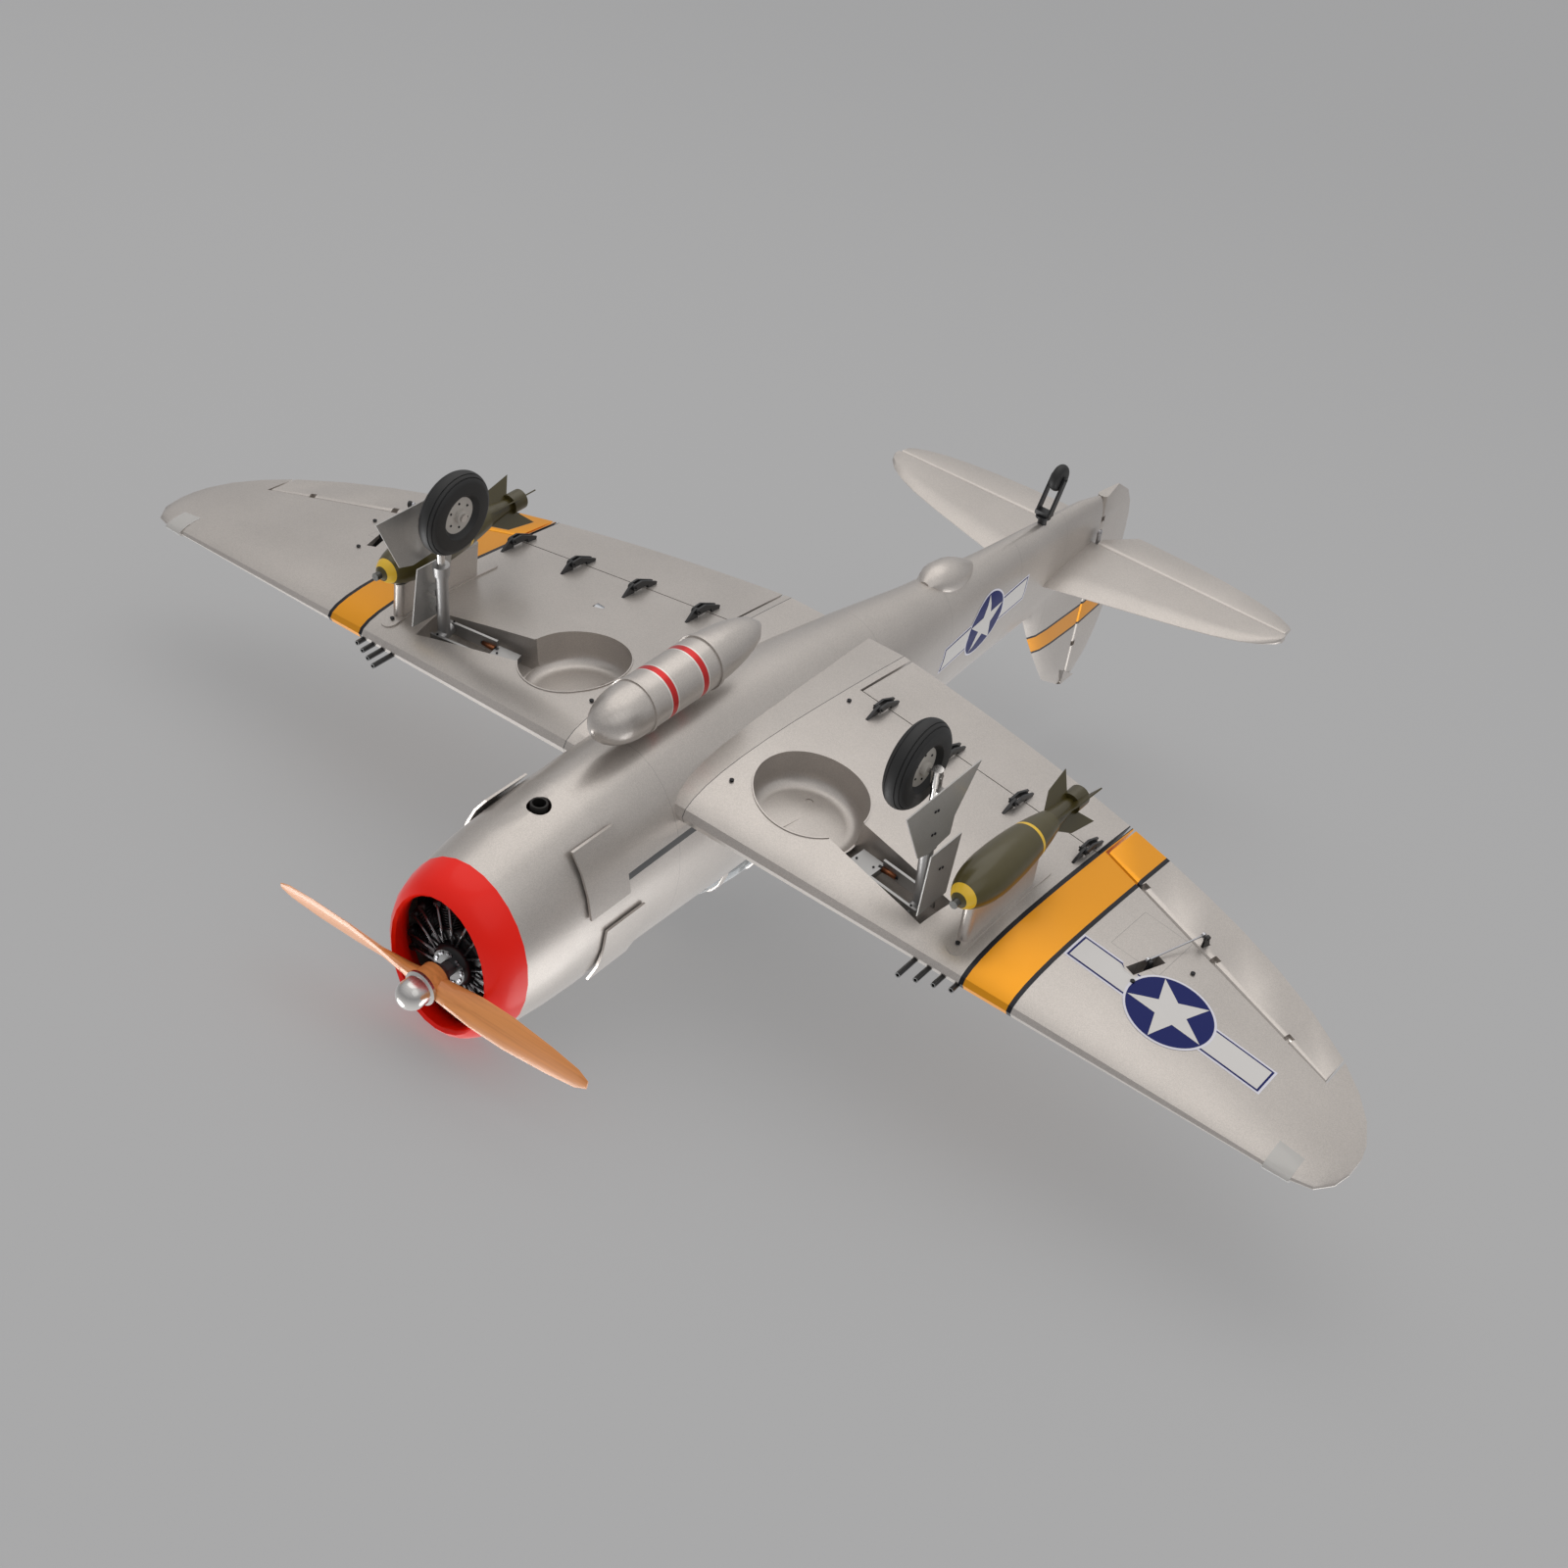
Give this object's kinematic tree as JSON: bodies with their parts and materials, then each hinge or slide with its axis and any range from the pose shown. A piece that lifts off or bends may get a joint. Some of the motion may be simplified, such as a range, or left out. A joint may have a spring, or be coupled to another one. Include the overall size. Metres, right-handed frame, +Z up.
{
  "type": "rc warbird plane",
  "caption": "Radio-controlled low-wing warbird with radial cowl, wood propeller, moving control surfaces, sprung folding landing gear, drop tank and wing bombs.",
  "frame": {"origin": "centre of the bounding box at floor level, the plane standing on its three wheels", "axes": "+Z up, nose towards -Y, left wing towards +X"},
  "size_m": [1.6064, 1.4259, 0.4427],
  "materials": {
    "silver": "satin",
    "red": "gloss",
    "black_paint": "satin",
    "cast_metal": "satin",
    "dark_metal": "matte",
    "bright_metal": "polished",
    "tube_metal": "satin",
    "black_plastic": "satin",
    "steel": "satin",
    "black_steel": "satin",
    "clear": "gloss",
    "olive": "satin",
    "wood": "satin",
    "hub": "satin",
    "tyre": "matte"
  },
  "bodies": {
    "airframe": {"fuselage": "silver", "cowl": "silver", "cowl_ring": "red", "dummy_engine": "black_paint", "engine": "cast_metal", "muffler": "dark_metal", "vent_panels": "silver", "canopy": "clear", "canopy_frame": "silver", "belly_blister": "silver", "drop_tank": "silver", "tank_rings": "bright_metal", "wing_left": "silver", "wing_right": "silver", "wing_tube": "tube_metal", "well_cups": "silver", "flap_brackets": "black_plastic", "hinge_pins": "steel", "servos": "black_plastic", "tip_lights": "clear", "gun_barrels": "black_plastic", "pylons": "silver", "bomb_left": "olive", "bomb_right": "olive", "bomb_tails": "olive", "retract_units": "cast_metal", "stabiliser": "silver", "tail_bracket": "black_plastic", "fasteners": "black_steel"},
    "propeller": {"prop_shaft": "steel", "propeller": "wood", "prop_nut": "bright_metal"},
    "aileron_left": {"aileron_left": "silver", "horn_left": "black_plastic"},
    "servo_arm_left": {"servo_arm_left": "black_plastic"},
    "pushrod_left": {"pushrod_left": "steel"},
    "flap_left": {"flap_left": "silver"},
    "aileron_right": {"aileron_right": "silver", "horn_right": "black_plastic"},
    "servo_arm_right": {"servo_arm_right": "black_plastic"},
    "pushrod_right": {"pushrod_right": "steel"},
    "flap_right": {"flap_right": "silver"},
    "elevator": {"elevator_left": "silver", "elevator_right": "silver", "elevator_joiner": "steel"},
    "rudder": {"rudder": "silver"},
    "tail_steer": {"tail_fork": "black_plastic"},
    "tail_wheel": {"tail_wheel": "tyre"},
    "gear_left": {"strut_left": "cast_metal", "leg_door_left": "silver"},
    "lower_leg_left": {"lower_leg_left": "steel", "wheel_door_left": "silver"},
    "wheel_left": {"hub_left": "hub", "tyre_left": "tyre"},
    "gear_right": {"strut_right": "cast_metal", "leg_door_right": "silver"},
    "lower_leg_right": {"lower_leg_right": "steel", "wheel_door_right": "silver"},
    "wheel_right": {"hub_right": "hub", "tyre_right": "tyre"}
  },
  "joints": [
    {"name": "propeller_spin", "type": "hinge", "parent": "airframe", "child": "propeller", "pos_m": [0, -0.66554, 0.36603], "axis": [0, 0.9743, -0.2253], "continuous": true},
    {"name": "aileron_left_hinge", "type": "hinge", "parent": "airframe", "child": "aileron_left", "pos_m": [0.413, -0.09462, 0.18738], "axis": [0.9469, -0.2681, 0.1774], "range_deg": [-20, 20]},
    {"name": "servo_arm_left_turn", "type": "hinge", "parent": "airframe", "child": "servo_arm_left", "pos_m": [0.52928, -0.20665, 0.23034], "axis": [0.9469, -0.2681, 0.1774], "range_deg": [-20, 20]},
    {"name": "pushrod_left_pin", "type": "hinge", "parent": "servo_arm_left", "child": "pushrod_left", "pos_m": [0.53143, -0.21179, 0.21113], "axis": [0.9469, -0.2681, 0.1774], "range_deg": [-20, 20]},
    {"name": "flap_left_hinge", "type": "hinge", "parent": "airframe", "child": "flap_left", "pos_m": [0.092, -0.14277, 0.13353], "axis": [-0.9911, -0.0229, -0.1312], "range_deg": [0, 45]},
    {"name": "aileron_right_hinge", "type": "hinge", "parent": "airframe", "child": "aileron_right", "pos_m": [-0.413, -0.09462, 0.18738], "axis": [0.9469, 0.2681, -0.1774], "range_deg": [-20, 20]},
    {"name": "servo_arm_right_turn", "type": "hinge", "parent": "airframe", "child": "servo_arm_right", "pos_m": [-0.52928, -0.20665, 0.23034], "axis": [0.9469, 0.2681, -0.1774], "range_deg": [-20, 20]},
    {"name": "pushrod_right_pin", "type": "hinge", "parent": "servo_arm_right", "child": "pushrod_right", "pos_m": [-0.53143, -0.21179, 0.21113], "axis": [0.9469, 0.2681, -0.1774], "range_deg": [-20, 20]},
    {"name": "flap_right_hinge", "type": "hinge", "parent": "airframe", "child": "flap_right", "pos_m": [-0.092, -0.14277, 0.13353], "axis": [-0.9911, 0.0229, 0.1312], "range_deg": [0, 45]},
    {"name": "elevator_hinge", "type": "hinge", "parent": "airframe", "child": "elevator", "pos_m": [0, 0.58586, 0.13621], "axis": [1, 0, 0], "range_deg": [-25, 25]},
    {"name": "rudder_hinge", "type": "hinge", "parent": "airframe", "child": "rudder", "pos_m": [0, 0.60729, 0.13125], "axis": [0, 0.2253, 0.9743], "range_deg": [-25, 25]},
    {"name": "tail_wheel_steer", "type": "hinge", "parent": "airframe", "child": "tail_steer", "pos_m": [0, 0.42018, 0.06777], "axis": [0, 0.2253, 0.9743], "range_deg": [-25, 25]},
    {"name": "tail_wheel_roll", "type": "hinge", "parent": "tail_steer", "child": "tail_wheel", "pos_m": [0, 0.43125, 0.018], "axis": [1, 0, 0], "continuous": true},
    {"name": "gear_left_fold", "type": "hinge", "parent": "airframe", "child": "gear_left", "pos_m": [0.322, -0.32876, 0.21565], "axis": [0.1467, 0.92, -0.3633], "range_deg": [0, 81]},
    {"name": "oleo_left_slide", "type": "slide", "parent": "gear_left", "child": "lower_leg_left", "axis": [0, 0.3179, 0.9481], "range_m": [0, 0.008], "stiffness_N_per_m": 8000, "springref_m": -0.004},
    {"name": "wheel_left_roll", "type": "hinge", "parent": "lower_leg_left", "child": "wheel_left", "pos_m": [0.299, -0.38497, 0.048], "axis": [1, 0, 0], "continuous": true},
    {"name": "gear_right_fold", "type": "hinge", "parent": "airframe", "child": "gear_right", "pos_m": [-0.322, -0.32876, 0.21565], "axis": [0.1467, -0.92, 0.3633], "range_deg": [0, 81]},
    {"name": "oleo_right_slide", "type": "slide", "parent": "gear_right", "child": "lower_leg_right", "axis": [0, 0.3179, 0.9481], "range_m": [0, 0.008], "stiffness_N_per_m": 8000, "springref_m": -0.004},
    {"name": "wheel_right_roll", "type": "hinge", "parent": "lower_leg_right", "child": "wheel_right", "pos_m": [-0.299, -0.38497, 0.048], "axis": [1, 0, 0], "continuous": true}
  ],
  "couplings": [
    {"joint": "aileron_right_hinge", "follows": "aileron_left_hinge", "ratio": -1},
    {"joint": "servo_arm_left_turn", "follows": "aileron_left_hinge", "ratio": 1},
    {"joint": "servo_arm_right_turn", "follows": "aileron_left_hinge", "ratio": -1},
    {"joint": "pushrod_left_pin", "follows": "aileron_left_hinge", "ratio": -1},
    {"joint": "pushrod_right_pin", "follows": "aileron_left_hinge", "ratio": 1},
    {"joint": "flap_right_hinge", "follows": "flap_left_hinge", "ratio": 1},
    {"joint": "tail_wheel_steer", "follows": "rudder_hinge", "ratio": 1},
    {"joint": "gear_right_fold", "follows": "gear_left_fold", "ratio": 1}
  ]
}
